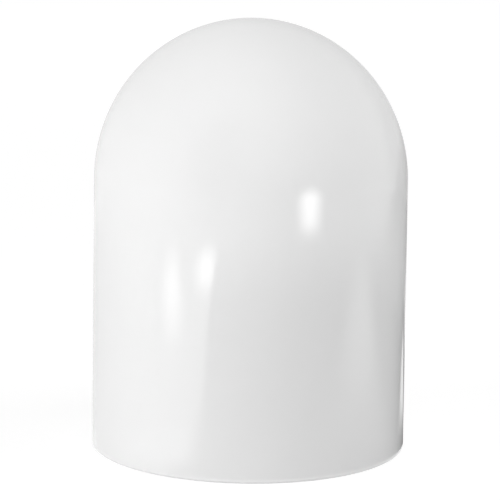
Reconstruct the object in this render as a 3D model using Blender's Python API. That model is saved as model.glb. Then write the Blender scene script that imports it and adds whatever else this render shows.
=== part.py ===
"""Domed cap for a round fence post.

A glossy dome pushes down over an inner collar. The collar slips over the end of the post, a rubber
buffer under its web takes the post's cut end, and set screws in brass inserts clamp it to the post.
A rubber ring in the collar's groove holds the dome on, so that the dome turns and pulls off by hand.

The origin is at the centre of the dome's rim, the face that the cap stands on, with +Z up.
"""

import math

import bmesh
import bpy

MM = 0.001

# Post that the cap is made for
POST_DIAMETER = 60.3 * MM
POST_CLEARANCE = 0.35 * MM

# Gaps between pieces
SEAT_GAP = 0.3 * MM
DOME_CLEARANCE = 0.45 * MM
THREAD_GAP = 0.15 * MM

# Dome
DOME_WALL = 2.5 * MM
DOME_RISE = 38.4 * MM
SKIRT_HEIGHT = 64.7 * MM
SKIRT_DRAFT = math.radians(0.3)
RIM_ROUND = 0.6 * MM
RIM_LEAD_IN = 0.8 * MM
STOP_RIB_COUNT = 6
STOP_RIB_WIDTH = 1.8 * MM
STOP_RIB_DEPTH = 5.0 * MM

# Collar
COLLAR_WALL = 4.0 * MM
COLLAR_HEIGHT = 50.8 * MM
COLLAR_SETBACK = 1.2 * MM
COLLAR_EDGE = 0.6 * MM
COLLAR_LEAD_IN = 1.5 * MM
WEB_THICKNESS = 5.0 * MM
CRUSH_RIB_COUNT = 12
CRUSH_RIB_WIDTH = 1.2 * MM
CRUSH_RIB_HEIGHT = 0.3 * MM

# Rubber buffer with a stem that pulls through the collar's web
BUFFER_THICKNESS = 2.5 * MM
BUFFER_EDGE = 0.6 * MM
STEM_DIAMETER = 9.4 * MM
STEM_HEAD_DIAMETER = 16.0 * MM
STEM_HEAD_HEIGHT = 2.2 * MM

# Rubber ring between the collar and the dome
RING_SECTION = 2.0 * MM

# Set screws and their threaded inserts
SCREW_COUNT = 3
FIRST_SCREW_ANGLE = math.radians(90)
SCREW_HEIGHT = 24.0 * MM
SCREW_DIAMETER = 4.0 * MM
SCREW_LENGTH = 4.0 * MM
SCREW_SINK = 0.1 * MM
SCREW_EDGE = 0.35 * MM
POINT_LENGTH = 0.9 * MM
POINT_DIAMETER = 2.2 * MM
POINT_CUP_DEPTH = 0.5 * MM
KEY_SIDES = 6
KEY_ACROSS_FLATS = 2.0 * MM
KEY_DEPTH = 1.8 * MM
INSERT_DIAMETER = 6.2 * MM
INSERT_SINK = 0.5 * MM
INSERT_GROOVE_WIDTH = 0.8 * MM
INSERT_GROOVE_DEPTH = 0.35 * MM

# Fineness of the round faces
LARGE_ROUND_STEPS = 72
SMALL_ROUND_STEPS = 24
DOME_ARC_STEPS = 14
CAVITY_ARC_STEPS = 8
EDGE_ARC_STEPS = 3
HEAD_ARC_STEPS = 4
RING_SECTION_STEPS = 10
SMOOTH_BELOW = math.radians(32)
WELD = 0.00001 * MM

# Radii and levels that the pieces share
COLLAR_BORE = POST_DIAMETER / 2 + POST_CLEARANCE
COLLAR_OUTER = COLLAR_BORE + COLLAR_WALL
DOME_BORE = COLLAR_OUTER + DOME_CLEARANCE
DOME_OUTER = DOME_BORE + DOME_WALL
COLLAR_BOTTOM = COLLAR_SETBACK
COLLAR_TOP = COLLAR_BOTTOM + COLLAR_HEIGHT
WEB_BOTTOM = COLLAR_TOP - WEB_THICKNESS
GROOVE_LEVEL = COLLAR_TOP - WEB_THICKNESS / 2
RING_RADIUS = DOME_BORE - SEAT_GAP - RING_SECTION / 2
INSERT_BORE = SCREW_DIAMETER / 2 + THREAD_GAP


def clear_scene():
    for obj in list(bpy.data.objects):
        bpy.data.objects.remove(obj)


def finish(name, colour, roughness, metallic=0.0):
    """Material of one colour, with the gloss that the piece has."""
    material = bpy.data.materials.new(name)
    material.use_nodes = True
    shader = material.node_tree.nodes["Principled BSDF"]
    shader.inputs["Base Color"].default_value = (*colour, 1.0)
    shader.inputs["Roughness"].default_value = roughness
    shader.inputs["Metallic"].default_value = metallic
    return material


def add_object(name, shape, material=None):
    """Turns a bmesh into a smooth-shaded object in the scene."""
    bmesh.ops.recalc_face_normals(shape, faces=shape.faces)
    mesh = bpy.data.meshes.new(name)
    shape.to_mesh(mesh)
    shape.free()
    mesh.shade_smooth()
    mesh.set_sharp_from_angle(angle=SMOOTH_BELOW)
    if material:
        mesh.materials.append(material)
    obj = bpy.data.objects.new(name, mesh)
    bpy.context.scene.collection.objects.link(obj)
    return obj


def arc(centre, radii, start, end, steps):
    """Points (radius, height) along an elliptical arc, both ends included; angles in degrees."""
    points = []
    for step in range(steps + 1):
        angle = math.radians(start + (end - start) * step / steps)
        points.append((centre[0] + radii[0] * math.cos(angle), centre[1] + radii[1] * math.sin(angle)))
    return points


def turn(outline, steps, closed):
    """Bmesh made by turning (radius, height) points once around Z."""
    shape = bmesh.new()
    points = [shape.verts.new((radius, 0.0, height)) for radius, height in outline]
    following = points[1:] + points[:1] if closed else points[1:]
    edges = [shape.edges.new(pair) for pair in zip(points, following)]
    bmesh.ops.spin(
        shape, geom=points + edges, cent=(0, 0, 0), axis=(0, 0, 1), angle=math.tau, steps=steps, use_merge=True
    )
    bmesh.ops.remove_doubles(shape, verts=shape.verts, dist=WELD)
    return shape


def add_plate(shape, outline, width, angle):
    """Adds a flat plate with a (radius, height) outline, standing in the half plane at this angle."""
    across = (-math.sin(angle), math.cos(angle))
    sides = []
    for offset in (-width / 2, width / 2):
        corners = []
        for radius, height in outline:
            x = radius * math.cos(angle) + offset * across[0]
            y = radius * math.sin(angle) + offset * across[1]
            corners.append(shape.verts.new((x, y, height)))
        shape.faces.new(corners)
        sides.append(corners)
    near, far = sides
    for i in range(len(outline)):
        j = (i + 1) % len(outline)
        shape.faces.new((near[i], near[j], far[j], far[i]))


def combine(target, tool, operation):
    """Joins a helper to a piece, or cuts it out, and hides the helper."""
    modifier = target.modifiers.new(tool.name, "BOOLEAN")
    modifier.operation = operation
    modifier.object = tool
    tool.hide_render = True
    tool.display_type = "WIRE"


def even_angles(count, first=0.0):
    return [first + math.tau * i / count for i in range(count)]


def point_outwards(obj, angle, height):
    """Lays a piece turned about Z on its side, so that its axis runs out from the cap's axis."""
    obj.location = (0.0, 0.0, height)
    obj.rotation_euler = (0.0, math.pi / 2, angle)


def skirt_radius(height):
    """Outer radius of the dome's skirt, which widens towards the rim so that it leaves its mould."""
    return DOME_OUTER + (SKIRT_HEIGHT - height) * math.tan(SKIRT_DRAFT)


def dome_outline():
    """Half section of the dome: crown, skirt, rounded rim, and the hollow back up to the axis."""
    crown = arc((0, SKIRT_HEIGHT), (DOME_OUTER, DOME_RISE), 90, 0, DOME_ARC_STEPS)
    rim_centre = (skirt_radius(RIM_ROUND) - RIM_ROUND, RIM_ROUND)
    rim = arc(rim_centre, (RIM_ROUND, RIM_ROUND), 0, -90, EDGE_ARC_STEPS)
    mouth = [
        (skirt_radius(0) - DOME_WALL + RIM_LEAD_IN, 0.0),
        (skirt_radius(RIM_LEAD_IN) - DOME_WALL, RIM_LEAD_IN),
    ]
    hollow = arc((0, SKIRT_HEIGHT), (DOME_BORE, DOME_RISE - DOME_WALL), 0, 90, CAVITY_ARC_STEPS)
    return crown + rim + mouth + hollow


def stop_rib_outline():
    """Half section of one rib under the crown. Its flat foot is the stop that sits on the collar."""
    foot_level = COLLAR_TOP + SEAT_GAP
    inner = DOME_BORE - STOP_RIB_DEPTH
    buried = DOME_BORE + DOME_WALL / 2
    buried_rise = DOME_RISE - DOME_WALL / 2
    end = math.degrees(math.acos(inner / buried))
    back = arc((0, SKIRT_HEIGHT), (buried, buried_rise), 0, end, CAVITY_ARC_STEPS)
    return [(inner, foot_level), (buried, foot_level)] + back


def make_dome(material):
    dome = add_object("dome_cap", turn(dome_outline(), LARGE_ROUND_STEPS, closed=False), material)
    ribs = bmesh.new()
    half_pitch = math.pi / STOP_RIB_COUNT
    for angle in even_angles(STOP_RIB_COUNT, half_pitch):
        add_plate(ribs, stop_rib_outline(), STOP_RIB_WIDTH, angle)
    combine(dome, add_object("stop_ribs", ribs), "UNION")


def collar_outline():
    """Half section of the collar: sleeve, ring groove, and the web with its hole for the stem."""
    groove_half = RING_SECTION / 2 + SEAT_GAP
    groove_floor = RING_RADIUS - RING_SECTION / 2 - SEAT_GAP
    hole = STEM_DIAMETER / 2 + SEAT_GAP
    return [
        (COLLAR_BORE + COLLAR_EDGE, COLLAR_BOTTOM),
        (COLLAR_OUTER - COLLAR_EDGE, COLLAR_BOTTOM),
        (COLLAR_OUTER, COLLAR_BOTTOM + COLLAR_EDGE),
        (COLLAR_OUTER, GROOVE_LEVEL - groove_half),
        (groove_floor, GROOVE_LEVEL - groove_half),
        (groove_floor, GROOVE_LEVEL + groove_half),
        (COLLAR_OUTER, GROOVE_LEVEL + groove_half),
        (COLLAR_OUTER, COLLAR_TOP - COLLAR_EDGE),
        (COLLAR_OUTER - COLLAR_EDGE, COLLAR_TOP),
        (hole, COLLAR_TOP),
        (hole, WEB_BOTTOM),
        (COLLAR_BORE, WEB_BOTTOM),
        (COLLAR_BORE, COLLAR_BOTTOM + COLLAR_LEAD_IN),
    ]


def crush_rib_outline():
    """Half section of one low rib in the collar's bore, with a slope for the post to ride up."""
    buried = COLLAR_BORE + COLLAR_WALL / 2
    tip = COLLAR_BORE - CRUSH_RIB_HEIGHT
    start = COLLAR_BOTTOM + COLLAR_LEAD_IN
    return [
        (buried, start),
        (buried, WEB_BOTTOM + WEB_THICKNESS / 2),
        (tip, WEB_BOTTOM + WEB_THICKNESS / 2),
        (tip, start + COLLAR_LEAD_IN),
        (COLLAR_BORE, start),
    ]


def make_collar(material):
    collar = add_object("post_collar", turn(collar_outline(), LARGE_ROUND_STEPS, closed=True), material)
    ribs = bmesh.new()
    half_pitch = math.pi / CRUSH_RIB_COUNT
    for angle in even_angles(CRUSH_RIB_COUNT, half_pitch):
        add_plate(ribs, crush_rib_outline(), CRUSH_RIB_WIDTH, angle)
    combine(collar, add_object("crush_ribs", ribs), "UNION")
    hole_radius = INSERT_DIAMETER / 2 + SEAT_GAP
    hole_ends = (COLLAR_BORE - COLLAR_WALL, COLLAR_OUTER + COLLAR_WALL)
    hole = [(0, hole_ends[0]), (hole_radius, hole_ends[0]), (hole_radius, hole_ends[1]), (0, hole_ends[1])]
    for number, angle in enumerate(even_angles(SCREW_COUNT, FIRST_SCREW_ANGLE), 1):
        cutter = add_object(f"insert_hole_{number}", turn(hole, SMALL_ROUND_STEPS, closed=False))
        point_outwards(cutter, angle, SCREW_HEIGHT)
        combine(collar, cutter, "DIFFERENCE")


def make_buffer(material):
    """Rubber disc under the web, held by a stem whose rounded head sits on top of the web."""
    radius = COLLAR_BORE - CRUSH_RIB_HEIGHT - SEAT_GAP
    top = WEB_BOTTOM - SEAT_GAP
    bottom = top - BUFFER_THICKNESS
    head_level = COLLAR_TOP + SEAT_GAP
    outline = [
        (0.0, bottom),
        (radius - BUFFER_EDGE, bottom),
        (radius, bottom + BUFFER_EDGE),
        (radius, top),
        (STEM_DIAMETER / 2, top),
        (STEM_DIAMETER / 2, head_level),
    ]
    outline += arc((0, head_level), (STEM_HEAD_DIAMETER / 2, STEM_HEAD_HEIGHT), 0, 90, HEAD_ARC_STEPS)
    add_object("end_buffer", turn(outline, LARGE_ROUND_STEPS, closed=False), material)


def make_ring(material):
    """Rubber ring that lies in the collar's groove and bears on the dome's bore."""
    section = arc((RING_RADIUS, GROOVE_LEVEL), (RING_SECTION / 2,) * 2, 0, 360, RING_SECTION_STEPS)
    add_object("retaining_ring", turn(section[:-1], LARGE_ROUND_STEPS, closed=True), material)


def insert_outline():
    """Half section of a brass insert along its own axis, with a groove between two gripping bands."""
    inner_end = COLLAR_BORE + SCREW_SINK
    outer_end = COLLAR_OUTER - INSERT_SINK
    middle = (inner_end + outer_end) / 2
    outer = INSERT_DIAMETER / 2
    floor = outer - INSERT_GROOVE_DEPTH
    half = INSERT_GROOVE_WIDTH / 2
    return [
        (INSERT_BORE, inner_end),
        (outer, inner_end),
        (outer, middle - half),
        (floor, middle - half),
        (floor, middle + half),
        (outer, middle + half),
        (outer, outer_end),
        (INSERT_BORE, outer_end),
    ]


def make_insert(number, angle, material):
    shape = turn(insert_outline(), SMALL_ROUND_STEPS, closed=True)
    insert = add_object(f"thread_insert_{number}", shape, material)
    point_outwards(insert, angle, SCREW_HEIGHT)


def screw_outline():
    """Half section of a set screw along its own axis: cupped point inside, flat key end outside."""
    key_end = COLLAR_OUTER - SCREW_SINK
    point_end = key_end - SCREW_LENGTH
    radius = SCREW_DIAMETER / 2
    return [
        (0.0, point_end + POINT_CUP_DEPTH),
        (POINT_DIAMETER / 2, point_end),
        (radius, point_end + POINT_LENGTH),
        (radius, key_end - SCREW_EDGE),
        (radius - SCREW_EDGE, key_end),
        (0.0, key_end),
    ]


def make_screw(number, angle, material):
    screw = add_object(f"set_screw_{number}", turn(screw_outline(), SMALL_ROUND_STEPS, closed=False), material)
    point_outwards(screw, angle, SCREW_HEIGHT)
    key_end = COLLAR_OUTER - SCREW_SINK
    across_corners = KEY_ACROSS_FLATS / math.cos(math.pi / KEY_SIDES)
    key_levels = (key_end - KEY_DEPTH, key_end + KEY_DEPTH)
    key = [(0, key_levels[0]), (across_corners / 2, key_levels[0])]
    key += [(across_corners / 2, key_levels[1]), (0, key_levels[1])]
    socket = add_object(f"key_socket_{number}", turn(key, KEY_SIDES, closed=False))
    point_outwards(socket, angle, SCREW_HEIGHT)
    combine(screw, socket, "DIFFERENCE")


def main():
    clear_scene()
    make_dome(finish("dome_white", (0.88, 0.88, 0.88), 0.12))
    make_collar(finish("collar_grey", (0.22, 0.23, 0.24), 0.55))
    rubber = finish("rubber_black", (0.03, 0.03, 0.032), 0.7)
    make_buffer(rubber)
    make_ring(rubber)
    brass = finish("insert_brass", (0.72, 0.53, 0.25), 0.32, metallic=1.0)
    steel = finish("screw_steel", (0.55, 0.55, 0.56), 0.3, metallic=1.0)
    for number, angle in enumerate(even_angles(SCREW_COUNT, FIRST_SCREW_ANGLE), 1):
        make_insert(number, angle, brass)
        make_screw(number, angle, steel)


main()
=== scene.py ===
"""Looks of the domed fence post cap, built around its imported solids.

The dome is a polished white moulding. Under it, a matt grey collar carries a rubber ring, a rubber
buffer, and three set screws in brass inserts. All lengths are metres in the frame of the solids.
"""

import math

import bmesh
import bpy
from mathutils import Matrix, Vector


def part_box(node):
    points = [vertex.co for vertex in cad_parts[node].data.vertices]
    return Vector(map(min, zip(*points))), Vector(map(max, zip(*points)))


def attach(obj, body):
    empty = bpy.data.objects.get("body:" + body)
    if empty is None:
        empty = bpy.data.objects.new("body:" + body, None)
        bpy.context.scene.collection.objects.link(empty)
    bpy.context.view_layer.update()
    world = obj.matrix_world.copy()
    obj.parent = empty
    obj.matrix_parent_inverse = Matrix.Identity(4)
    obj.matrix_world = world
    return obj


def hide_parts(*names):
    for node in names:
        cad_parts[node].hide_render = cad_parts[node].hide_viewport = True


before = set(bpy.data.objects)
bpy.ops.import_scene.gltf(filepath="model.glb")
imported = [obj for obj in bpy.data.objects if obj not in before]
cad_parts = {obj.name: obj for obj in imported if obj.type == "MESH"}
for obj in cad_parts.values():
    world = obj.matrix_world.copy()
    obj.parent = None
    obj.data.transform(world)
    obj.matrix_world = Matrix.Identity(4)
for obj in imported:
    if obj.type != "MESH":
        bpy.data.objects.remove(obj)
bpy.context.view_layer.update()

MM = 0.001

# Gap between pieces that rest on each other
SEAT_GAP = 0.3 * MM

# Dome
CROWN_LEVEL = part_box("dome_cap")[1].z
RIM_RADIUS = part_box("dome_cap")[1].x
SPRING_LEVEL = 64.7 * MM
SKIRT_DRAFT = math.radians(0.3)
DOME_WALL = 2.5 * MM
RIM_ROUND = 0.6 * MM
RIM_LEAD_IN = 0.8 * MM
STOP_RIB_COUNT = 6
STOP_RIB_WIDTH = 1.8 * MM
STOP_RIB_DEPTH = 5.0 * MM
DOME_RADIUS = RIM_RADIUS - (SPRING_LEVEL - RIM_ROUND) * math.tan(SKIRT_DRAFT)
DOME_BORE = DOME_RADIUS - DOME_WALL

# Rubber buffer and ring
BUFFER_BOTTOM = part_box("end_buffer")[0].z
BUFFER_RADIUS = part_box("end_buffer")[1].x
STEM_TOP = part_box("end_buffer")[1].z
BUFFER_THICKNESS = 2.5 * MM
BUFFER_EDGE = 0.6 * MM
STEM_RADIUS = 4.7 * MM
STEM_HEAD_RADIUS = 8.0 * MM
STEM_HEAD_HEIGHT = 2.2 * MM
RING_LEVEL = (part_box("retaining_ring")[0].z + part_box("retaining_ring")[1].z) / 2
RING_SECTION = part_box("retaining_ring")[1].z - RING_LEVEL
RING_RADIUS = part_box("retaining_ring")[1].x - RING_SECTION
RING_FLASH = 0.05 * MM
RING_FLASH_DEGREES = 6

# Collar
COLLAR_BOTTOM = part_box("post_collar")[0].z
COLLAR_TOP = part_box("post_collar")[1].z
COLLAR_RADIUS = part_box("post_collar")[1].x
COLLAR_WALL = 4.0 * MM
COLLAR_BORE = COLLAR_RADIUS - COLLAR_WALL
COLLAR_EDGE = 0.6 * MM
COLLAR_LEAD_IN = 1.5 * MM
WEB_THICKNESS = 5.0 * MM
WEB_BOTTOM = COLLAR_TOP - WEB_THICKNESS
STEM_HOLE = STEM_RADIUS + SEAT_GAP
GROOVE_FLOOR = 32.35 * MM
GROOVE_WIDTH = 2.6 * MM
GROOVE_LIP = 0.25 * MM
CRUSH_RIB_COUNT = 12
CRUSH_RIB_WIDTH = 1.2 * MM
CRUSH_RIB_HEIGHT = 0.3 * MM

# Set screws and inserts, each along its own axis; the first of each points along +Y
SCREW_COUNT = 3
FIRST_SCREW_ANGLE = math.radians(90)
SCREW_HEIGHT = (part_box("set_screw_1")[0].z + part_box("set_screw_1")[1].z) / 2
SCREW_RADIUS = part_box("set_screw_1")[1].x
POINT_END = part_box("set_screw_1")[0].y
KEY_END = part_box("set_screw_1")[1].y
SCREW_EDGE = 0.35 * MM
POINT_LENGTH = 0.9 * MM
POINT_RADIUS = 1.1 * MM
POINT_CUP_DEPTH = 0.5 * MM
THREAD_PITCH = 0.7 * MM
THREAD_CREST = THREAD_PITCH / 8
THREAD_DEPTH = 0.4 * MM
THREAD_GAP = 0.15 * MM
THREAD_SPARE_TURNS = 2
KEY_SIDES = 6
KEY_WIDTH = 2.0 * MM
KEY_RADIUS = KEY_WIDTH / 2 / math.cos(math.pi / KEY_SIDES)
KEY_DEPTH = 1.8 * MM
KEY_MOUTH = 0.15 * MM
KEY_FLOOR_INSET = KEY_RADIUS * 0.3
KEY_FLOOR_DROP = KEY_RADIUS * 0.2
INSERT_INNER_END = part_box("thread_insert_1")[0].y
INSERT_OUTER_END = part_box("thread_insert_1")[1].y
INSERT_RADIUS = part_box("thread_insert_1")[1].x
INSERT_BORE = SCREW_RADIUS + THREAD_GAP
INSERT_MOUTH = 0.25 * MM
INSERT_GROOVE_WIDTH = 0.8 * MM
INSERT_GROOVE_DEPTH = 0.35 * MM
INSERT_HOLE_GAP = 0.03 * MM
INSERT_HOLE = INSERT_RADIUS + INSERT_HOLE_GAP
INSERT_HOLE_CHAMFER = 0.4 * MM
KNURL_TEETH = 26
KNURL_DEPTH = 0.14 * MM

# Fineness of the round faces, and the narrow margin that keeps the shading of long walls even
DOME_STEPS = 192
COLLAR_STEPS = 192
SMALL_STEPS = 48
CROWN_ARC_STEPS = 72
HOLLOW_ARC_STEPS = 32
EDGE_ARC_STEPS = 6
RING_ARC_STEPS = 14
CIRCLE_STEPS = 64
WALL_MARGIN = 0.4 * MM
SMOOTH_BELOW = math.radians(30)
WELD = 0.001 * MM

# Camera, fitted to the outline in the photograph
PHOTO_WIDTH = 500
SENSOR_WIDTH = 36.0
FOCAL_LENGTH_PIXELS = 2560
CAMERA_TARGET_LEVEL = 47.45 * MM
CAMERA_DISTANCE = 614.75 * MM
CAMERA_ELEVATION = math.radians(10.757)
CAMERA_ROLL = math.radians(0.75)
CAMERA_NEAREST = 10 * MM

# Lamps, where a radiance of 1 is white
LAMP_DISTANCE = 0.9
LAMP_SIZE = 0.5
SOCKET_LAMP_SIZE = 40 * MM
SOCKET_LAMP_DEPTH = 5 * MM
SOFT_LIGHT = 0.42
WHITE = (1.0, 1.0, 1.0, 1.0)

# Floor: where it is seen it glows, a little less near the object, and its faint colour takes the shadow
FLOOR_RADIUS = 6.0
FLOOR_COLOUR = (0.77, 0.77, 0.77, 1.0)
FLOOR_FAINT_COLOUR = (0.3, 0.3, 0.3, 1.0)
FLOOR_NEAR = 0.05
FLOOR_FAR = 1.0
FLOOR_GLOW_NEAR = 0.79
FLOOR_GLOW_FAR = 0.86


# Modelling by hand

def arc(centre, radii, start, end, steps):
    """Points (radius, height) along an elliptical arc, both ends included; angles in degrees."""
    points = []
    for step in range(steps + 1):
        angle = math.radians(start + (end - start) * step / steps)
        points.append((centre[0] + radii[0] * math.cos(angle), centre[1] + radii[1] * math.sin(angle)))
    return points


def round_edge(centre, radius, start, end):
    """Points along the small arc of a rounded edge."""
    return arc(centre, (radius, radius), start, end, EDGE_ARC_STEPS)


def draw(name, outline):
    """Starts a piece as a line through (radius, height) points, and leaves it open in edit mode."""
    bpy.ops.object.select_all(action="DESELECT")
    bpy.ops.mesh.primitive_plane_add(size=MM)
    piece = bpy.context.object
    piece.name = name
    piece.data.name = name
    bpy.ops.object.mode_set(mode="EDIT")
    bpy.ops.mesh.select_all(action="SELECT")
    bpy.ops.mesh.merge(type="CENTER")
    bpy.ops.transform.translate(value=(outline[0][0], 0.0, outline[0][1]))
    for here, there in zip(outline, outline[1:]):
        step = (there[0] - here[0], 0.0, there[1] - here[1])
        bpy.ops.mesh.extrude_vertices_move(TRANSFORM_OT_translate={"value": step})
    return piece


def turn(name, outline, steps):
    """A piece turned on a lathe: its outline spun once around Z and closed."""
    piece = draw(name, outline)
    bpy.ops.mesh.select_all(action="SELECT")
    bpy.ops.mesh.spin(steps=steps, angle=math.tau, center=(0, 0, 0), axis=(0, 0, 1))
    close_mesh()
    return piece


def close_mesh():
    """Merges what lies in one place, turns the faces outwards and leaves edit mode."""
    bpy.ops.mesh.select_all(action="SELECT")
    bpy.ops.mesh.remove_doubles(threshold=WELD)
    bpy.ops.mesh.normals_make_consistent(inside=False)
    bpy.ops.object.mode_set(mode="OBJECT")


def plates(name, outline, width, count):
    """Upright plates of one (radius, height) outline, spread evenly around Z, half a pitch from +X."""
    piece = draw(name, outline)
    bpy.ops.mesh.select_all(action="SELECT")
    bpy.ops.mesh.edge_face_add()
    bpy.ops.transform.translate(value=(0, -width / 2, 0))
    bpy.ops.mesh.extrude_region_move(TRANSFORM_OT_translate={"value": (0, width, 0)})
    bpy.ops.mesh.select_all(action="SELECT")
    bpy.ops.transform.rotate(value=math.pi / count, orient_axis="Z", center_override=(0, 0, 0))
    turned = math.tau * (count - 1) / count
    bpy.ops.mesh.spin(dupli=True, steps=count - 1, angle=turned, center=(0, 0, 0), axis=(0, 0, 1))
    bpy.ops.mesh.select_all(action="SELECT")
    bpy.ops.mesh.normals_make_consistent(inside=False)
    bpy.ops.object.mode_set(mode="OBJECT")
    return piece


def select_points(piece, wanted):
    """Selects the vertices of a piece in edit mode whose place passes the test, and nothing else."""
    bpy.ops.mesh.select_all(action="DESELECT")
    shape = bmesh.from_edit_mesh(piece.data)
    for point in shape.verts:
        point.select = wanted(point.co)
    shape.select_flush_mode()
    bmesh.update_edit_mesh(piece.data)


def combine(piece, tool, operation):
    """Joins a tool to a piece, cuts it out, or keeps what both hold; the tool goes and edges are welded."""
    bpy.context.view_layer.objects.active = piece
    bpy.ops.object.modifier_add(type="BOOLEAN")
    modifier = piece.modifiers[-1]
    modifier.operation = operation
    modifier.object = tool
    bpy.ops.object.modifier_apply(modifier=modifier.name)
    bpy.data.objects.remove(tool)
    pick(piece)
    bpy.ops.object.mode_set(mode="EDIT")
    bpy.ops.mesh.select_all(action="SELECT")
    bpy.ops.mesh.remove_doubles(threshold=WELD)
    bpy.ops.mesh.dissolve_degenerate(threshold=WELD)
    bpy.ops.object.mode_set(mode="OBJECT")


def pick(piece):
    """Makes a piece the only selected one."""
    bpy.ops.object.select_all(action="DESELECT")
    piece.select_set(True)
    bpy.context.view_layer.objects.active = piece


def point_outwards(piece, number):
    """Lays a piece turned about Z on its side at one of the screw places, and keeps that in its mesh."""
    angle = FIRST_SCREW_ANGLE + math.tau * (number - 1) / SCREW_COUNT
    pick(piece)
    piece.rotation_euler = (0.0, math.pi / 2, angle)
    piece.location = (0.0, 0.0, SCREW_HEIGHT)
    bpy.ops.object.transform_apply(location=True, rotation=True, scale=True)


def copy_at(piece, name, number):
    """A copy of a piece with a mesh of its own, laid at one of the screw places."""
    copy = piece.copy()
    copy.data = piece.data.copy()
    copy.name = name
    copy.data.name = name
    bpy.context.scene.collection.objects.link(copy)
    point_outwards(copy, number)
    return copy


def dress(piece, material, node, body):
    """Shades a finished piece, gives it its material and puts it in the place of its solid."""
    pick(piece)
    bpy.ops.object.shade_smooth_by_angle(angle=SMOOTH_BELOW)
    piece.data.materials.clear()
    piece.data.materials.append(material)
    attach(piece, body)
    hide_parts(node)


# Pieces

def skirt_radius(level):
    """Outer radius of the skirt, which widens towards the rim."""
    return DOME_RADIUS + (SPRING_LEVEL - level) * math.tan(SKIRT_DRAFT)


def model_dome():
    """White shell: crown, skirt, rounded rim, and the hollow with its stop ribs."""
    crown_rise = CROWN_LEVEL - SPRING_LEVEL
    outline = arc((0, SPRING_LEVEL), (DOME_RADIUS, crown_rise), 90, 0, CROWN_ARC_STEPS)
    for level in (SPRING_LEVEL - WALL_MARGIN, RIM_ROUND + WALL_MARGIN):
        outline.append((skirt_radius(level), level))
    outline += round_edge((skirt_radius(RIM_ROUND) - RIM_ROUND, RIM_ROUND), RIM_ROUND, 0, -90)
    outline.append((skirt_radius(0) - DOME_WALL + RIM_LEAD_IN, 0.0))
    outline.append((skirt_radius(RIM_LEAD_IN) - DOME_WALL, RIM_LEAD_IN))
    hollow_rise = crown_rise - DOME_WALL
    outline += arc((0, SPRING_LEVEL), (DOME_BORE, hollow_rise), 0, 90, HOLLOW_ARC_STEPS)
    dome = turn("dome_shell", outline, DOME_STEPS)
    combine(dome, model_stop_ribs(crown_rise - DOME_WALL / 2), "UNION")
    return dome


def model_stop_ribs(buried_rise):
    """Ribs whose flat feet stop the dome on the collar, with their backs sunk in the dome's wall."""
    inner = DOME_BORE - STOP_RIB_DEPTH
    buried = DOME_BORE + DOME_WALL / 2
    foot = COLLAR_TOP + SEAT_GAP
    end = math.degrees(math.acos(inner / buried))
    outline = [(inner, foot), (buried, foot)]
    outline += arc((0, SPRING_LEVEL), (buried, buried_rise), 0, end, HOLLOW_ARC_STEPS)
    return plates("stop_ribs", outline, STOP_RIB_WIDTH, STOP_RIB_COUNT)


def model_collar():
    """Grey sleeve with its ring groove, its web, its crush ribs and the holes for the inserts."""
    groove_low = RING_LEVEL - GROOVE_WIDTH / 2
    groove_high = RING_LEVEL + GROOVE_WIDTH / 2
    outline = [(COLLAR_BORE + COLLAR_EDGE, COLLAR_BOTTOM)]
    outline += round_edge((COLLAR_RADIUS - COLLAR_EDGE, COLLAR_BOTTOM + COLLAR_EDGE), COLLAR_EDGE, -90, 0)
    outline.append((COLLAR_RADIUS, COLLAR_BOTTOM + COLLAR_EDGE + WALL_MARGIN))
    outline.append((COLLAR_RADIUS, groove_low - GROOVE_LIP - WALL_MARGIN))
    outline += round_edge((COLLAR_RADIUS - GROOVE_LIP, groove_low - GROOVE_LIP), GROOVE_LIP, 0, 90)
    outline += [(GROOVE_FLOOR, groove_low), (GROOVE_FLOOR, groove_high)]
    outline += round_edge((COLLAR_RADIUS - GROOVE_LIP, groove_high + GROOVE_LIP), GROOVE_LIP, -90, 0)
    outline += round_edge((COLLAR_RADIUS - COLLAR_EDGE, COLLAR_TOP - COLLAR_EDGE), COLLAR_EDGE, 0, 90)
    outline += round_edge((STEM_HOLE + COLLAR_EDGE, COLLAR_TOP - COLLAR_EDGE), COLLAR_EDGE, 90, 180)
    outline += [(STEM_HOLE, WEB_BOTTOM), (COLLAR_BORE, WEB_BOTTOM)]
    outline += [(COLLAR_BORE, COLLAR_BOTTOM + COLLAR_LEAD_IN), outline[0]]
    collar = turn("post_sleeve", outline, COLLAR_STEPS)
    combine(collar, model_crush_ribs(), "UNION")
    cutter = model_insert_hole()
    for number in range(1, SCREW_COUNT + 1):
        combine(collar, copy_at(cutter, "hole", number), "DIFFERENCE")
    bpy.data.objects.remove(cutter)
    return collar


def model_crush_ribs():
    """Low ribs in the bore that grip the post, with a slope for it to ride up."""
    buried = COLLAR_BORE + COLLAR_WALL / 2
    tip = COLLAR_BORE - CRUSH_RIB_HEIGHT
    start = COLLAR_BOTTOM + COLLAR_LEAD_IN
    end = (WEB_BOTTOM + COLLAR_TOP) / 2
    outline = [(buried, start), (buried, end), (tip, end)]
    outline += [(tip, start + COLLAR_LEAD_IN), (COLLAR_BORE, start)]
    return plates("crush_ribs", outline, CRUSH_RIB_WIDTH, CRUSH_RIB_COUNT)


def model_insert_hole():
    """Cutter for an insert's hole, with a chamfer where it comes out of the collar."""
    inner_end = COLLAR_BORE - COLLAR_WALL
    outer_end = COLLAR_RADIUS + COLLAR_WALL
    chamfer_start = COLLAR_RADIUS - INSERT_HOLE_CHAMFER
    outline = [(0, inner_end), (INSERT_HOLE, inner_end), (INSERT_HOLE, chamfer_start)]
    outline += [(INSERT_HOLE + outer_end - chamfer_start, outer_end), (0, outer_end)]
    return turn("insert_hole", outline, SMALL_STEPS)


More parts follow.
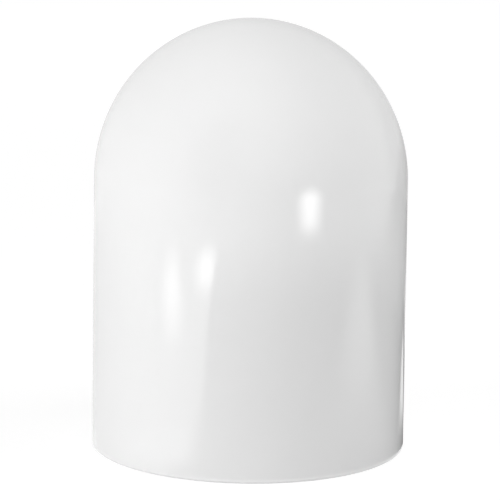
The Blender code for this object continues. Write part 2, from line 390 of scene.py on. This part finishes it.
def model_buffer():
    """Rubber disc for the post's end, with the stem and the head that hold it in the web."""
    top = BUFFER_BOTTOM + BUFFER_THICKNESS
    head_level = STEM_TOP - STEM_HEAD_HEIGHT
    outline = [(0, BUFFER_BOTTOM)]
    outline += round_edge((BUFFER_RADIUS - BUFFER_EDGE, BUFFER_BOTTOM + BUFFER_EDGE), BUFFER_EDGE, -90, 0)
    outline += [(BUFFER_RADIUS, top), (STEM_RADIUS, top), (STEM_RADIUS, head_level)]
    outline += arc((0, head_level), (STEM_HEAD_RADIUS, STEM_HEAD_HEIGHT), 0, 90, 2 * EDGE_ARC_STEPS)
    return turn("post_end_buffer", outline, COLLAR_STEPS)


def model_ring():
    """Rubber ring with the fine flash line that its two mould halves leave."""
    section = RING_SECTION - RING_FLASH
    outline = []
    for side, flash_way in ((0, -1), (180, 1)):
        start = side + RING_FLASH_DEGREES
        end = side + 180 - RING_FLASH_DEGREES
        outline += arc((RING_RADIUS, RING_LEVEL), (section, section), start, end, RING_ARC_STEPS)
        outline.append((RING_RADIUS + flash_way * RING_SECTION, RING_LEVEL))
    return turn("grip_ring", outline + outline[:1], COLLAR_STEPS)


def model_insert():
    """Brass insert with two bands of slanting knurl, one each way, and a groove between them."""
    middle = (INSERT_INNER_END + INSERT_OUTER_END) / 2
    groove = (middle - INSERT_GROOVE_WIDTH / 2, middle + INSERT_GROOVE_WIDTH / 2)
    groove_floor = INSERT_RADIUS - INSERT_GROOVE_DEPTH
    outline = [
        (INSERT_BORE, INSERT_INNER_END + INSERT_MOUTH),
        (INSERT_BORE + INSERT_MOUTH, INSERT_INNER_END),
        (INSERT_RADIUS, INSERT_INNER_END),
        (INSERT_RADIUS, groove[0]),
        (groove_floor, groove[0]),
        (groove_floor, groove[1]),
        (INSERT_RADIUS, groove[1]),
        (INSERT_RADIUS, INSERT_OUTER_END),
        (INSERT_BORE + INSERT_MOUTH, INSERT_OUTER_END),
        (INSERT_BORE, INSERT_OUTER_END - INSERT_MOUTH),
        (INSERT_BORE, INSERT_INNER_END + INSERT_MOUTH),
    ]
    insert = turn("insert", outline, 2 * KNURL_TEETH)
    cut_knurl(insert, groove)
    return insert


def cut_knurl(insert, groove):
    """Sinks every other column of the two bands, and slants the bands opposite ways."""
    half_tooth = math.pi / KNURL_TEETH

    def on_band(place):
        return math.hypot(place.x, place.y) > INSERT_RADIUS - KNURL_DEPTH / 2

    def in_valley(place):
        column = round(math.atan2(place.y, place.x) / half_tooth)
        return on_band(place) and column % 2 == 1

    def beside_groove(place):
        outer = math.hypot(place.x, place.y) > INSERT_RADIUS - 2 * KNURL_DEPTH
        return outer and groove[0] - WELD < place.z < groove[1] + WELD

    pick(insert)
    bpy.ops.object.mode_set(mode="EDIT")
    select_points(insert, in_valley)
    share = 1 - KNURL_DEPTH / INSERT_RADIUS
    bpy.ops.transform.resize(value=(share, share, 1), center_override=(0, 0, 0))
    select_points(insert, beside_groove)
    bpy.ops.transform.rotate(value=half_tooth, orient_axis="Z", center_override=(0, 0, 0))
    bpy.ops.object.mode_set(mode="OBJECT")


def model_thread():
    """Threaded rod half a pitch longer than the screw at each end, its ends closed flat."""
    start = POINT_END - THREAD_SPARE_TURNS * THREAD_PITCH
    middle = start + THREAD_PITCH / 2
    root = SCREW_RADIUS - THREAD_DEPTH
    outline = [(root, start), (SCREW_RADIUS, middle - THREAD_CREST / 2)]
    outline += [(SCREW_RADIUS, middle + THREAD_CREST / 2), (root, start + THREAD_PITCH)]
    rod = draw("thread", outline)
    bpy.ops.object.mode_set(mode="OBJECT")
    bpy.ops.object.modifier_add(type="SCREW")
    modifier = rod.modifiers[-1]
    modifier.screw_offset = THREAD_PITCH
    modifier.iterations = math.ceil((KEY_END - POINT_END) / THREAD_PITCH) + 2 * THREAD_SPARE_TURNS
    modifier.steps = SMALL_STEPS
    modifier.render_steps = SMALL_STEPS
    modifier.use_merge_vertices = True
    modifier.merge_threshold = WELD
    bpy.ops.object.modifier_apply(modifier=modifier.name)
    bpy.ops.object.mode_set(mode="EDIT")
    bpy.ops.mesh.select_all(action="SELECT")
    bpy.ops.mesh.remove_doubles(threshold=WELD)
    for level, way in ((POINT_END - THREAD_PITCH / 2, -1), (KEY_END + THREAD_PITCH / 2, 1)):
        bpy.ops.mesh.select_all(action="SELECT")
        bpy.ops.mesh.bisect(plane_co=(0, 0, level), plane_no=(0, 0, way), use_fill=True, clear_outer=True)
    close_mesh()
    return rod


def model_screw():
    """Set screw: a thread cut to the ends of a blank that stands clear of it, and the key socket."""
    clear_radius = SCREW_RADIUS + THREAD_DEPTH
    point_slope = POINT_LENGTH / (SCREW_RADIUS - POINT_RADIUS)
    blank = [
        (0, POINT_END + POINT_CUP_DEPTH),
        (POINT_RADIUS, POINT_END),
        (clear_radius, POINT_END + (clear_radius - POINT_RADIUS) * point_slope),
        (clear_radius, KEY_END - SCREW_EDGE - THREAD_DEPTH),
        (SCREW_RADIUS - SCREW_EDGE, KEY_END),
        (0, KEY_END),
    ]
    screw = turn("screw", blank, 2 * SMALL_STEPS)
    combine(screw, model_thread(), "INTERSECT")
    combine(screw, model_key_socket(), "DIFFERENCE")
    return screw


def model_key_socket():
    """Cutter for the key socket: a six-sided prism with a tapered floor and a wider mouth."""
    floor = KEY_END - KEY_DEPTH
    bpy.ops.object.select_all(action="DESELECT")
    bpy.ops.mesh.primitive_circle_add(
        vertices=KEY_SIDES, radius=KEY_RADIUS, fill_type="NGON", location=(0, 0, floor),
    )
    socket = bpy.context.object
    bpy.ops.object.transform_apply(location=True)
    bpy.ops.object.mode_set(mode="EDIT")
    bpy.ops.mesh.select_all(action="SELECT")
    rise = KEY_DEPTH - KEY_MOUTH
    bpy.ops.mesh.extrude_region_move(TRANSFORM_OT_translate={"value": (0, 0, rise)})
    bpy.ops.mesh.extrude_region_move(TRANSFORM_OT_translate={"value": (0, 0, 2 * KEY_MOUTH)})
    wider = 1 + 2 * KEY_MOUTH / KEY_RADIUS
    bpy.ops.transform.resize(value=(wider, wider, 1), center_override=(0, 0, 0))
    select_points(socket, lambda place: place.z < floor + WELD)
    bpy.ops.mesh.inset(thickness=KEY_FLOOR_INSET)
    bpy.ops.transform.translate(value=(0, 0, -KEY_FLOOR_DROP))
    close_mesh()
    return socket


# Finishes

def add_node(tree, kind, inputs=None, **settings):
    """Adds a node. A socket among its inputs is linked, and anything else is set."""
    node = tree.nodes.new(kind)
    for name, value in settings.items():
        setattr(node, name, value)
    for name, value in (inputs or {}).items():
        if isinstance(value, bpy.types.NodeSocket):
            tree.links.new(value, node.inputs[name])
        else:
            node.inputs[name].default_value = value
    return node


def calculate(tree, operation, *values):
    """A socket with the result of a Math node on one or two values."""
    return add_node(tree, "ShaderNodeMath", dict(enumerate(values)), operation=operation).outputs[0]


def new_group(name, inputs, outputs):
    """An empty node group with float inputs, given with their usual values, and float outputs."""
    group = bpy.data.node_groups.new(name, "ShaderNodeTree")
    for socket, value in inputs.items():
        made = group.interface.new_socket(name=socket, in_out="INPUT", socket_type="NodeSocketFloat")
        made.default_value = value
    for socket in outputs:
        group.interface.new_socket(name=socket, in_out="OUTPUT", socket_type="NodeSocketFloat")
    return group


def mould_grain_group():
    """Fine grain that a mould leaves, as a height, and slow clouds of gloss and tone."""
    group = new_group("mould_grain", {"Grain Scale": 2000.0, "Cloud Scale": 60.0}, ("Height", "Cloud"))
    inside = add_node(group, "NodeGroupInput")
    place = add_node(group, "ShaderNodeTexCoord").outputs["Object"]
    grain = add_node(group, "ShaderNodeTexNoise", {
        "Vector": place, "Scale": inside.outputs["Grain Scale"], "Detail": 3.0, "Roughness": 0.55,
    })
    cloud = add_node(group, "ShaderNodeTexNoise", {
        "Vector": place, "Scale": inside.outputs["Cloud Scale"], "Detail": 4.0, "Roughness": 0.6,
    })
    add_node(group, "NodeGroupOutput", {"Height": grain.outputs["Fac"], "Cloud": cloud.outputs["Fac"]})
    return group


def hairline_group():
    """Hairline marks from handling, as a mask: thin level lines of a stretched noise, in patches."""
    group = new_group("hairlines", {"Scale": 120.0, "Width": 0.02, "Cover": 0.5}, ("Marks",))
    inside = add_node(group, "NodeGroupInput")
    place = add_node(group, "ShaderNodeTexCoord").outputs["Object"]
    stretched = add_node(group, "ShaderNodeMapping", {
        "Vector": place, "Rotation": (0.5, 0.35, 0.2), "Scale": (1.0, 1.0, 0.12),
    })
    noise = add_node(group, "ShaderNodeTexNoise", {
        "Vector": stretched.outputs["Vector"], "Scale": inside.outputs["Scale"], "Detail": 2.0,
    })
    above_level = calculate(group, "SUBTRACT", noise.outputs["Fac"], 0.5)
    from_level = calculate(group, "ABSOLUTE", above_level)
    line = calculate(group, "LESS_THAN", from_level, inside.outputs["Width"])
    patches = add_node(group, "ShaderNodeTexNoise", {"Vector": place, "Scale": 55.0, "Detail": 2.0})
    in_patch = calculate(group, "GREATER_THAN", patches.outputs["Fac"], inside.outputs["Cover"])
    add_node(group, "NodeGroupOutput", {"Marks": calculate(group, "MULTIPLY", line, in_patch)})
    return group


def add_group(tree, group, inputs):
    """Places a node group with its own values."""
    return add_node(tree, "ShaderNodeGroup", inputs, node_tree=group)


def new_material(name):
    """A material with its node tree and its Principled shader."""
    material = bpy.data.materials.new(name)
    material.use_nodes = True
    return material, material.node_tree, material.node_tree.nodes["Principled BSDF"]


def spread(tree, value, low, high):
    """A socket that takes a value from 0..1 to low..high."""
    node = add_node(tree, "ShaderNodeMapRange", {"Value": value, "To Min": low, "To Max": high})
    return node.outputs["Result"]


def fade(tree, value, start, end, first, second):
    """A socket that goes smoothly from the first level to the second as a value goes from start to end."""
    node = add_node(tree, "ShaderNodeMapRange", {
        "Value": value, "From Min": start, "From Max": end, "To Min": first, "To Max": second,
    }, interpolation_type="SMOOTHSTEP")
    return node.outputs["Result"]


def tint(tree, mask, dark, light):
    """A socket with a colour between two, by a mask. The Mix node's colour sockets go by number."""
    mix = add_node(tree, "ShaderNodeMix", {6: (*dark, 1.0), 7: (*light, 1.0)}, data_type="RGBA")
    tree.links.new(mask, mix.inputs["Factor"])
    return mix.outputs[2]


def add_skin(tree, shader, grain, scales, dark, light):
    """Adds the mould grain, whose clouds tint the base colour from dark to light."""
    skin = add_group(tree, grain, scales)
    tree.links.new(tint(tree, skin.outputs["Cloud"], dark, light), shader.inputs["Base Color"])
    return skin


def add_marks(tree, shader, hairlines, values, roughness, change):
    """Links a roughness that changes along hairline marks."""
    marks = add_group(tree, hairlines, values)
    marked = spread(tree, marks.outputs["Marks"], 0.0, change)
    tree.links.new(calculate(tree, "ADD", roughness, marked), shader.inputs["Roughness"])


def add_bump(tree, shader, skin, distance, strength):
    """Raises the skin's grain."""
    bump = add_node(tree, "ShaderNodeBump", {
        "Height": skin.outputs["Height"], "Distance": distance, "Strength": strength,
    })
    tree.links.new(bump.outputs["Normal"], shader.inputs["Normal"])


def polished_white(grain, hairlines):
    """Dome: white moulding with a polish, a faint orange peel and a few hairlines.

    Its index of refraction is fitted to the strength of the photograph's reflections.
    """
    material, tree, shader = new_material("polished_white")
    scales = {"Grain Scale": 520.0, "Cloud Scale": 38.0}
    skin = add_skin(tree, shader, grain, scales, (0.865, 0.865, 0.865), (0.885, 0.885, 0.885))
    polish = spread(tree, skin.outputs["Cloud"], 0.03, 0.05)
    marks = {"Scale": 160.0, "Width": 0.006, "Cover": 0.6}
    add_marks(tree, shader, hairlines, marks, polish, change=0.06)
    shader.inputs["IOR"].default_value = 1.72
    add_bump(tree, shader, skin, distance=0.02 * MM, strength=0.12)
    return material


def spark_grey(grain, hairlines):
    """Collar: grey moulding with the grain of a spark-eroded mould, rubbed bright in hairlines."""
    material, tree, shader = new_material("spark_grey")
    scales = {"Grain Scale": 2600.0, "Cloud Scale": 70.0}
    skin = add_skin(tree, shader, grain, scales, (0.19, 0.2, 0.21), (0.25, 0.26, 0.27))
    dullness = spread(tree, skin.outputs["Height"], 0.46, 0.64)
    marks = {"Scale": 200.0, "Width": 0.01, "Cover": 0.52}
    add_marks(tree, shader, hairlines, marks, dullness, change=-0.12)
    add_bump(tree, shader, skin, distance=0.06 * MM, strength=0.5)
    return material


def matt_rubber(grain):
    """Buffer and ring: black rubber with a dry bloom."""
    material, tree, shader = new_material("matt_rubber")
    scales = {"Grain Scale": 1800.0, "Cloud Scale": 110.0}
    skin = add_skin(tree, shader, grain, scales, (0.022, 0.022, 0.024), (0.045, 0.045, 0.047))
    tree.links.new(spread(tree, skin.outputs["Cloud"], 0.6, 0.8), shader.inputs["Roughness"])
    add_bump(tree, shader, skin, distance=0.05 * MM, strength=0.4)
    return material


def turned_brass(grain, hairlines):
    """Inserts: turned brass, a little dulled in clouds, with fine tool marks."""
    material, tree, shader = new_material("turned_brass")
    scales = {"Grain Scale": 5000.0, "Cloud Scale": 300.0}
    skin = add_skin(tree, shader, grain, scales, (0.62, 0.43, 0.18), (0.78, 0.58, 0.28))
    dullness = spread(tree, skin.outputs["Cloud"], 0.24, 0.36)
    marks = {"Scale": 900.0, "Width": 0.03, "Cover": 0.45}
    add_marks(tree, shader, hairlines, marks, dullness, change=0.12)
    shader.inputs["Metallic"].default_value = 1.0
    add_bump(tree, shader, skin, distance=0.01 * MM, strength=0.3)
    return material


def plain_steel(grain, hairlines):
    """Set screws: plain stainless steel with fine tool marks."""
    material, tree, shader = new_material("plain_steel")
    scales = {"Grain Scale": 6000.0, "Cloud Scale": 350.0}
    skin = add_skin(tree, shader, grain, scales, (0.48, 0.48, 0.49), (0.6, 0.6, 0.61))
    dullness = spread(tree, skin.outputs["Cloud"], 0.22, 0.34)
    marks = {"Scale": 1200.0, "Width": 0.03, "Cover": 0.45}
    add_marks(tree, shader, hairlines, marks, dullness, change=0.12)
    shader.inputs["Metallic"].default_value = 1.0
    add_bump(tree, shader, skin, distance=0.01 * MM, strength=0.3)
    return material


# Studio

def seen_rays(tree):
    """Mask of the rays that show a surface: camera, glossy and transmission rays."""
    path = add_node(tree, "ShaderNodeLightPath")
    seen = calculate(tree, "MAXIMUM", path.outputs["Is Camera Ray"], path.outputs["Is Glossy Ray"])
    return calculate(tree, "MAXIMUM", seen, path.outputs["Is Transmission Ray"])


def mix_shaders(tree, share, first, second):
    """A node that goes from the first node's shader to the second's by a share."""
    return add_node(tree, "ShaderNodeMixShader", {0: share, 1: first.outputs[0], 2: second.outputs[0]})


def new_stage_material(name):
    """A material whose node tree is still empty."""
    material = bpy.data.materials.new(name)
    material.use_nodes = True
    material.node_tree.nodes.clear()
    return material, material.node_tree


def make_floor():
    """Pale floor that shows as white, still takes the soft shadow, and is clear from below.

    A hole that the collar covers lets light up into the post socket.
    """
    bpy.ops.mesh.primitive_circle_add(vertices=CIRCLE_STEPS, radius=FLOOR_RADIUS, fill_type="NGON")
    floor = bpy.context.object
    floor.name = "floor"
    bpy.ops.object.mode_set(mode="EDIT")
    bpy.ops.mesh.select_all(action="SELECT")
    bpy.ops.mesh.inset(thickness=FLOOR_RADIUS - COLLAR_BORE)
    bpy.ops.mesh.delete(type="FACE")
    bpy.ops.object.mode_set(mode="OBJECT")
    floor.data.materials.append(pale_floor())


def pale_floor():
    """Throws light as a plain pale floor, shows white with a faint shadow, and is clear from below."""
    material, tree = new_stage_material("pale_floor")
    plain = add_node(tree, "ShaderNodeBsdfDiffuse", {"Color": FLOOR_COLOUR})
    faint = add_node(tree, "ShaderNodeBsdfDiffuse", {"Color": FLOOR_FAINT_COLOUR})
    place = add_node(tree, "ShaderNodeTexCoord").outputs["Object"]
    reach = add_node(tree, "ShaderNodeVectorMath", {0: place}, operation="LENGTH").outputs["Value"]
    glow = fade(tree, reach, FLOOR_NEAR, FLOOR_FAR, FLOOR_GLOW_NEAR, FLOOR_GLOW_FAR)
    white = add_node(tree, "ShaderNodeEmission", {"Strength": glow})
    shown = add_node(tree, "ShaderNodeAddShader", {0: faint.outputs[0], 1: white.outputs[0]})
    above = mix_shaders(tree, seen_rays(tree), plain, shown)
    from_below = add_node(tree, "ShaderNodeNewGeometry").outputs["Backfacing"]
    clear = add_node(tree, "ShaderNodeBsdfTransparent")
    sided = mix_shaders(tree, from_below, above, clear)
    add_node(tree, "ShaderNodeOutputMaterial", {"Surface": sided.outputs[0]})
    return material


def set_world():
    """Even soft light all round, with a white background."""
    world = bpy.data.worlds.new("soft_tent")
    bpy.context.scene.world = world
    world.use_nodes = True
    tree = world.node_tree
    tree.nodes.clear()
    soft = add_node(tree, "ShaderNodeBackground", {"Color": WHITE, "Strength": SOFT_LIGHT})
    white = add_node(tree, "ShaderNodeBackground", {"Color": WHITE, "Strength": 1.0})
    mixed = mix_shaders(tree, seen_rays(tree), soft, white)
    add_node(tree, "ShaderNodeOutputWorld", {"Surface": mixed.outputs[0]})


def around(azimuth, elevation, distance):
    """Place at a distance from the object's middle.

    The azimuth is in degrees from the camera's side, and plus is to the right.
    """
    turned = math.radians(azimuth)
    raised = math.radians(elevation)
    level = math.cos(raised)
    way = Vector((math.sin(turned) * level, -math.cos(turned) * level, math.sin(raised)))
    return Vector((0, 0, CROWN_LEVEL / 2)) + way * distance


def add_lamp(name, place, size, radiance):
    """Soft square lamp that faces the object's middle and doesn't show in its gloss."""
    bpy.ops.object.light_add(type="AREA", location=place)
    lamp = bpy.context.object
    lamp.name = name
    lamp.rotation_euler = (around(0, 0, 0) - place).to_track_quat("-Z", "Y").to_euler()
    lamp.data.shape = "SQUARE"
    lamp.data.size = size
    lamp.data.energy = radiance * math.pi * size ** 2
    lamp.visible_camera = False
    lamp.visible_glossy = False


def add_card(name, place, turned, halves, radiance, core=0.0, cuts=()):
    """Soft oval card that only the gloss mirrors: a light, or with little radiance a dark flag.

    It is full in its core and fades out to its edge. Each cut keeps one side of a straight line, given by
    the way to that side in degrees, the line's distance from the middle, and half the width of its blur.
    """
    bpy.ops.mesh.primitive_circle_add(
        vertices=CIRCLE_STEPS, fill_type="NGON", location=place, rotation=turned,
    )
    card = bpy.context.object
    card.name = name
    card.scale = (*halves, 1.0)
    material, tree = new_stage_material(name)
    spot = add_node(tree, "ShaderNodeTexCoord").outputs["Object"]
    reach = add_node(tree, "ShaderNodeVectorMath", {0: spot}, operation="LENGTH").outputs["Value"]
    cover = fade(tree, reach, core, 1.0, 1.0, 0.0)
    for way, offset, blur in cuts:
        angle = math.radians(way)
        across = (math.cos(angle) * halves[0], math.sin(angle) * halves[1], 0.0)
        passed = add_node(tree, "ShaderNodeVectorMath", {0: spot, 1: across}, operation="DOT_PRODUCT")
        kept = fade(tree, passed.outputs["Value"], offset - blur, offset + blur, 0.0, 1.0)
        cover = calculate(tree, "MULTIPLY", cover, kept)
    clear = add_node(tree, "ShaderNodeBsdfTransparent")
    glow = add_node(tree, "ShaderNodeEmission", {"Color": WHITE, "Strength": radiance})
    mixed = mix_shaders(tree, cover, clear, glow)
    add_node(tree, "ShaderNodeOutputMaterial", {"Surface": mixed.outputs[0]})
    card.data.materials.append(material)
    card.visible_camera = False
    card.visible_diffuse = False
    card.visible_shadow = False


def lying(degrees):
    """Turn of a card that lies flat and is turned about Z."""
    return (0.0, 0.0, math.radians(degrees))


def standing(degrees):
    """Turn of a card that stands upright and is turned about Z."""
    return (math.radians(90), 0.0, math.radians(degrees))


def add_lamps():
    """Three soft lamps around the object, and a small one under its open socket."""
    add_lamp("left_lamp", around(-60, 15, LAMP_DISTANCE), LAMP_SIZE, radiance=4.78)
    add_lamp("front_lamp", around(8, 22, LAMP_DISTANCE), LAMP_SIZE, radiance=1.49)
    add_lamp("right_lamp", around(80, 47, LAMP_DISTANCE), LAMP_SIZE, radiance=3.16)
    add_lamp("socket_lamp", Vector((0, 0, -SOCKET_LAMP_DEPTH)), SOCKET_LAMP_SIZE, radiance=3.0)


def add_flags():
    """Cards dimmer than white, which darken the gloss. The flat ones lie just above the floor."""
    add_card("near_flag", (0, 0, 1 * MM), lying(0), halves=(0.4, 0.4), radiance=0.03, core=0.5,
             cuts=((-7.4, -0.0763, 0.001), (-29.5, 0.0, 0.01)))
    add_card("side_flag", (0.21, 0.28, 2 * MM), lying(0), halves=(0.25, 0.25), radiance=0.36, core=0.4)
    add_card("low_flag", (0.24, 0.31, 0.025), standing(0), halves=(0.25, 0.06), radiance=0.43, core=0.3)
    add_card("tall_flag", (-0.25, -0.5, 0.35), standing(0), halves=(0.45, 0.5), radiance=0.72, core=0.3,
             cuts=((170, -0.17, 0.08),))
    add_card("left_flag", (-0.14, 0.12, 2.5 * MM), lying(0), halves=(0.2, 0.2), radiance=0.87, core=0.3)
    add_card("back_flag", (0.25, 0.33, 0.05), standing(0), halves=(0.6, 0.36), radiance=0.7, core=0.2)


def add_boards():
    """Pale boards that lie over the flags, and lighten the gloss again."""
    add_card("rim_board", (0.064, 0.06, 2.2 * MM), lying(-22), halves=(0.011, 0.075), radiance=1.0, core=0.3)
    add_card("right_board", (0.2, -0.033, 2.6 * MM), lying(0), halves=(0.2, 0.062), radiance=0.78, core=0.2)
    add_card("near_board", (-0.1, -0.09, 3 * MM), lying(-26), halves=(0.11, 0.2), radiance=0.98, core=0.3,
             cuts=((180, -0.047, 0.01), (-64, -0.07, 0.015)))
    add_card("left_board", (-0.111, -0.27, 4 * MM), lying(0), halves=(0.25, 0.3), radiance=0.98,
             cuts=((172.6, 0.001, 0.001),))
    add_card("foot_board", (-0.034, -0.042, 3.5 * MM), lying(0), halves=(0.026, 0.026), radiance=1.2,
             core=0.4, cuts=((140, -0.0114, 0.004),))


def add_highlights():
    """Small bright cards: two streaks on the left of the dome's front, and a spot on its right."""
    add_card("streak_1", (-0.186, -0.14, 5 * MM), lying(-60), halves=(0.042, 0.1), radiance=2.5, core=0.1)
    add_card("streak_2", (-0.13, -0.237, 6 * MM), lying(0), halves=(0.055, 0.065), radiance=3.5,
             cuts=((172.6, -0.0223, 0.001),))
    add_card("spot", (0.1165, -0.1445, 44 * MM), standing(44), halves=(0.04, 0.036), radiance=5.2,
             cuts=((90, -0.0115, 0.004),))


def place_camera():
    """Camera where the photograph was taken from, with the plain view of colours."""
    scene = bpy.context.scene
    bpy.ops.object.camera_add()
    camera = bpy.context.object
    target = Vector((0, 0, CAMERA_TARGET_LEVEL))
    back = Vector((0, -math.cos(CAMERA_ELEVATION), math.sin(CAMERA_ELEVATION)))
    camera.location = target + back * CAMERA_DISTANCE
    camera.rotation_euler = (-back).to_track_quat("-Z", "Y").to_euler()
    camera.rotation_euler.rotate_axis("Z", CAMERA_ROLL)
    camera.data.sensor_width = SENSOR_WIDTH
    camera.data.lens = FOCAL_LENGTH_PIXELS / PHOTO_WIDTH * SENSOR_WIDTH
    camera.data.clip_start = CAMERA_NEAREST
    scene.camera = camera
    scene.view_settings.view_transform = "Standard"


def dress_object():
    """Models every piece and puts it in the place of its solid."""
    grain = mould_grain_group()
    hairlines = hairline_group()
    white = polished_white(grain, hairlines)
    grey = spark_grey(grain, hairlines)
    rubber = matt_rubber(grain)
    brass = turned_brass(grain, hairlines)
    steel = plain_steel(grain, hairlines)
    dress(model_dome(), white, "dome_cap", "dome")
    dress(model_collar(), grey, "post_collar", "collar")
    dress(model_buffer(), rubber, "end_buffer", "collar")
    dress(model_ring(), rubber, "retaining_ring", "ring")
    insert = model_insert()
    screw = model_screw()
    for number in range(1, SCREW_COUNT + 1):
        brass_piece = copy_at(insert, f"brass_insert_{number}", number)
        dress(brass_piece, brass, f"thread_insert_{number}", "collar")
        steel_piece = copy_at(screw, f"threaded_screw_{number}", number)
        dress(steel_piece, steel, f"set_screw_{number}", f"set_screw_{number}")
    bpy.data.objects.remove(insert)
    bpy.data.objects.remove(screw)


dress_object()
make_floor()
set_world()
add_lamps()
add_flags()
add_boards()
add_highlights()
place_camera()
